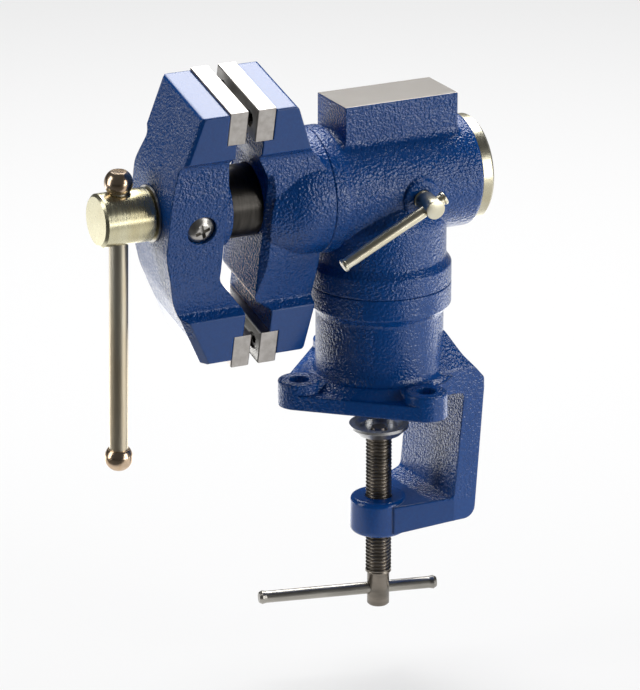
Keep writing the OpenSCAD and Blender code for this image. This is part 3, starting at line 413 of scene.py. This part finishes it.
# Swivel casting: ring, neck, barrel and anvil in one iron casting. Only the top of the anvil is ground
# bare after painting, so it is dull steel with a fine grain along its length.
swivel_enamel, tree, shader = enamel("swivel_enamel", "X", 0.0)
bare_from, bare_to = barrel_height + 46.62 * mm, barrel_height + 46.74 * mm
place = add(tree, "ShaderNodeTexCoord").outputs["Object"]
top_only = stretch(tree, along(tree, place, (0, 0, 1)), bare_from, bare_to)
steel = add(tree, "ShaderNodeBsdfPrincipled")
steel.inputs["Metallic"].default_value = 1.0
brush = add(tree, "ShaderNodeMapping")
brush.inputs["Scale"].default_value = (25, 260, 260)
join(tree, place, brush.inputs["Vector"])
lines = add(tree, "ShaderNodeTexNoise", Scale=4.0, Detail=3.0, Roughness=0.6)
join(tree, brush.outputs[0], lines.inputs["Vector"])
ground = two_tone(tree, lines.outputs["Fac"], (0.22, 0.205, 0.19), (0.30, 0.285, 0.265))
join(tree, ground, steel.inputs["Base Color"])
join(tree, stretch(tree, lines.outputs["Fac"], 0.0, 1.0, 0.32, 0.46), steel.inputs["Roughness"])
painted_or_bare = add(tree, "ShaderNodeMixShader")
join(tree, top_only, painted_or_bare.inputs["Fac"])
join(tree, shader.outputs[0], painted_or_bare.inputs[1])
join(tree, steel.outputs[0], painted_or_bare.inputs[2])
join(tree, painted_or_bare.outputs[0], tree.nodes["Material Output"].inputs["Surface"])
dress("swivel_casting", swivel_enamel)
bolt_zinc = metal("bolt_zinc", (0.60, 0.61, 0.62), (0.72, 0.72, 0.72), 0.25, (120, 120, 120))[0]
dress("pivot_bolt", bolt_zinc)
dress("pivot_washer", bolt_zinc)

# Lock screws: turned steel with a 1.5 mm thread, plated in pale yellow zinc, one in the barrel and one
# in the column. A plain lever slides through a cross hole behind the flat end of each.
zinc_pale = (0.72, 0.69, 0.56)
zinc_warm = (0.62, 0.55, 0.36)
yellow_zinc = metal("yellow_zinc", zinc_pale, zinc_warm, 0.30, (45, 45, 45))[0]


def lock_screw(name, node, body, matrix, tip, boss, end):
    """A lock screw from its tip to its flat end, with its thread up to a neck just outside the boss."""
    thread_r, shank_r, pitch, cut_depth = 5.0 * mm, 5.4 * mm, 1.5 * mm, 0.8 * mm
    neck, seat = boss + 2.4 * mm, end - 5.35 * mm
    low, high = tip + 1.0 * mm, neck - 0.1 * mm
    rows = ([(thread_r - 0.8 * mm, tip), (thread_r, tip + 0.8 * mm)]
            + thread_rows(thread_r, low, high, pitch)
            + [(shank_r - 0.2 * mm, neck), (shank_r, neck + 0.3 * mm), (shank_r, end - 0.6 * mm),
               (shank_r - 0.15 * mm, end - 0.2 * mm), (shank_r - 0.6 * mm, end)])
    piece = turned(name, rows, matrix, [(low, high, pitch, cut_depth)], crease=42)
    across = matrix @ Matrix.Translation((0, 0, seat)) @ Matrix.Rotation(math.radians(90), 4, "Y")
    drilled(piece, across, cross_hole_r, through, crease=42)
    piece.data.materials.append(yellow_zinc)
    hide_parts(node)
    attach(piece, body)


head_lock_place = (Matrix.Translation((8.6 * mm, 0, barrel_height)) @ Matrix.Rotation(math.radians(96), 4, "X")
                   @ Matrix.Rotation(math.radians(27.9), 4, "Z"))
lock_screw("head_lock_thread", "head_lock_screw", "head_lock", head_lock_place, 26.3 * mm, 32.2 * mm, 47.2 * mm)
swivel_lock_place = (Matrix.Rotation(base_turn, 4, "Z") @ Matrix.Translation((0, 0, 22 * mm))
                     @ Matrix.Rotation(math.radians(-90), 4, "X") @ Matrix.Rotation(math.radians(180), 4, "Z"))
lock_screw("swivel_lock_thread", "swivel_lock_screw", "swivel_lock", swivel_lock_place,
           22.3 * mm, 35.5 * mm, 50.5 * mm)
lever_zinc = metal("lever_zinc", (0.78, 0.74, 0.60), (0.68, 0.61, 0.42), 0.32, (50, 50, 50))[0]
dress("head_lock_lever", lever_zinc)
dress("swivel_lock_lever", lever_zinc)

# Fixed jaw: an iron casting whose shaft fills the barrel, with the key, the nut and the cap behind it.
# Its blocks are ground on their sides and tops before the enamel goes on.
head_place = Matrix.Translation((0, 0, barrel_height)) @ Matrix.Rotation(head_roll, 4, "X")
jaw_ground = {"side": 24.6 * mm, "side_from": 40 * mm, "top": 66.2 * mm}
fixed_enamel = enamel("fixed_enamel", "X", head_roll, **jaw_ground)[0]
dress("fixed_jaw", fixed_enamel)
plain_steel = metal("plain_steel", (0.42, 0.41, 0.385), (0.52, 0.51, 0.48), 0.30, (90, 90, 90))[0]
for node in ("guide_key", "main_nut", "thrust_washer", "retaining_collar"):
    dress(node, plain_steel)
cap_zinc = metal("cap_zinc", (0.57, 0.545, 0.435), (0.485, 0.44, 0.31), 0.28, (40, 40, 40))[0]
dress("end_cap", cap_zinc)
dress("end_cap_screws", bolt_zinc)

# Moving jaw and slide tube: the casting is finished like the fixed one, and the tube is drawn steel,
# oiled dark, pinned to the casting by one bright screw with a cross recess.
moving_enamel = enamel("moving_enamel", "X", head_roll, **jaw_ground)[0]
dress("moving_jaw", moving_enamel)
tube_dark = metal("tube_dark", (0.034, 0.032, 0.029), (0.064, 0.059, 0.053), 0.30, (260, 30, 30))[0]
dress("slide_tube", tube_dark)
screw_nickel = metal("screw_nickel", (0.40, 0.385, 0.36), (0.52, 0.50, 0.47), 0.30, (110, 110, 110))[0]
dress("tube_screw", screw_nickel)

# Jaw plates: four bars of ground tool steel, each held by two socket screws. The lower pair is cut
# with a diamond pattern on its clamping faces, and the upper pair is left smooth.
plate_width, plate_height, plate_depth, plate_bevel = 50 * mm, 18.6 * mm, 10.5 * mm, 0.5 * mm
diamond_pitch, diamond_depth, diamond_step = 1.7 * mm, 0.32 * mm, 0.42 * mm
plate_screw_reach, screw_head_r, screw_head_depth, screw_shank_r = 16 * mm, 4.5 * mm, 5.8 * mm, 2.52 * mm
plate_steel = metal("plate_steel", (0.40, 0.375, 0.35), (0.50, 0.475, 0.45), 0.30, (240, 30, 240))[0]
face_steel = metal("face_steel", (0.34, 0.33, 0.31), (0.46, 0.45, 0.43), 0.34, (160, 160, 160))[0]
socket_black = metal("socket_black", (0.05, 0.048, 0.045), (0.09, 0.085, 0.08), 0.32, (120, 120, 120))[0]


def diamond(y, z, pitch):
    """Depth share of a diamond cut at a point of the face, from 0 on the points to 1 in the grooves."""
    one, two = ((y + z) / pitch) % 1.0, ((y - z) / pitch) % 1.0
    return 1 - min(abs(2 * one - 1), abs(2 * two - 1))


def jaw_plate(name, node, body, seat, foot, out, cut_depth):
    """A plate from its seat to its clamping face; out is +1 where the face looks to +X."""
    step = diamond_step if cut_depth else 5 * mm
    across_count, up_count = round(plate_width / step), round(plate_height / step)
    verts, faces = [], []
    for j in range(up_count + 1):
        for i in range(across_count + 1):
            y = -plate_width / 2 + plate_bevel + (plate_width - 2 * plate_bevel) * i / across_count
            z = foot + plate_bevel + (plate_height - 2 * plate_bevel) * j / up_count
            edge = min(i, j, across_count - i, up_count - j)
            dip = cut_depth * diamond(y, z, diamond_pitch) if edge else 0
            verts.append((seat + out * (plate_depth - dip), y, z))
    wide = across_count + 1
    for j in range(up_count):
        for i in range(across_count):
            a = j * wide + i
            faces.append((a, a + 1, a + 1 + wide, a + wide))
    rim = (list(range(wide)) + [j * wide + across_count for j in range(1, up_count + 1)]
           + [up_count * wide + i for i in range(across_count - 1, -1, -1)]
           + [j * wide for j in range(up_count - 1, 0, -1)])
    rings = [rim]
    for depth, grow in ((plate_depth - plate_bevel, plate_bevel), (plate_bevel, plate_bevel), (0.0, 0.0)):
        ring = []
        for index in rim:
            x, y, z = verts[index]
            sy = 1 if y > 0 else -1
            on_side = abs(abs(y) - (plate_width / 2 - plate_bevel)) < 1e-7
            on_end = min(abs(z - foot - plate_bevel), abs(z - foot - plate_height + plate_bevel)) < 1e-7
            sz = 1 if z > foot + plate_height / 2 else -1
            ring.append(len(verts))
            verts.append((seat + out * depth, y + sy * grow * on_side, z + sz * grow * on_end))
        rings.append(ring)
    for outer, inner in zip(rings, rings[1:]):
        count = len(outer)
        for k in range(count):
            n = (k + 1) % count
            faces.append((outer[n], outer[k], inner[k], inner[n]))
    faces.append(tuple(rings[-1]))
    if out < 0:
        faces = [tuple(reversed(face)) for face in faces]
    mesh = bpy.data.meshes.new(name)
    mesh.from_pydata(verts, [], faces)
    form = bmesh.new()
    form.from_mesh(mesh)
    bmesh.ops.recalc_face_normals(form, faces=form.faces)
    form.to_mesh(mesh)
    form.free()
    piece = finished(name, mesh, head_place, 25)
    for side in (-plate_screw_reach, plate_screw_reach):
        line = Matrix.Translation((seat + out * plate_depth, side, foot + plate_height / 2))
        line = head_place @ line @ Matrix.Rotation(math.radians(90), 4, "Y")
        drilled(piece, line, screw_head_r, 2 * screw_head_depth, crease=25, sides=40)
        drilled(piece, line, screw_shank_r, 4 * plate_depth, crease=25, sides=32)
    piece.data.materials.append(plate_steel)
    piece.data.materials.append(face_steel)
    front = (head_place.to_3x3() @ Vector((out, 0, 0))).normalized()
    for face in piece.data.polygons:
        middle = head_place.inverted() @ face.center
        near = abs(middle.x - (seat + out * plate_depth)) < 0.3 * mm
        face.material_index = 1 if near and face.normal.dot(front) > 0.3 else 0
    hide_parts(node)
    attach(piece, body)


upper_foot, lower_foot = 49.4 * mm, -86.4 * mm
jaw_plate("upper_plate_fixed_ground", "upper_plate_fixed", "head", -79.35 * mm, upper_foot, -1, 0)
jaw_plate("lower_plate_fixed_cut", "lower_plate_fixed", "head", -63.25 * mm, lower_foot, -1, diamond_depth)
jaw_plate("upper_plate_moving_ground", "upper_plate_moving", "slide", -105.35 * mm, upper_foot, 1, 0)
jaw_plate("lower_plate_moving_cut", "lower_plate_moving", "slide", -89.25 * mm, lower_foot, 1, diamond_depth)
dress("fixed_plate_screws", socket_black)
dress("moving_plate_screws", socket_black)

# Main screw: steel with a large round head, plated pale yellow. The collar behind it is pinned on.
head_zinc = metal("head_zinc", (0.70, 0.66, 0.46), (0.60, 0.53, 0.32), 0.27, (60, 14, 14), spread=0.16)[0]
dress("main_screw", head_zinc)
dress("collar_pin", socket_black)

# Handle: a plated bar with a turned ball pressed on each end, the balls heat-tinted towards copper.
bar_zinc = metal("bar_zinc", (0.74, 0.70, 0.58), (0.66, 0.55, 0.38), 0.38, (90, 90, 9), spread=0.14)[0]
dress("handle_bar", bar_zinc)
ball_copper = metal("ball_copper", (0.74, 0.60, 0.47), (0.60, 0.43, 0.28), 0.20, (90, 90, 90))[0]
dress("handle_ball_top", ball_copper)
dress("handle_ball_bottom", ball_copper)
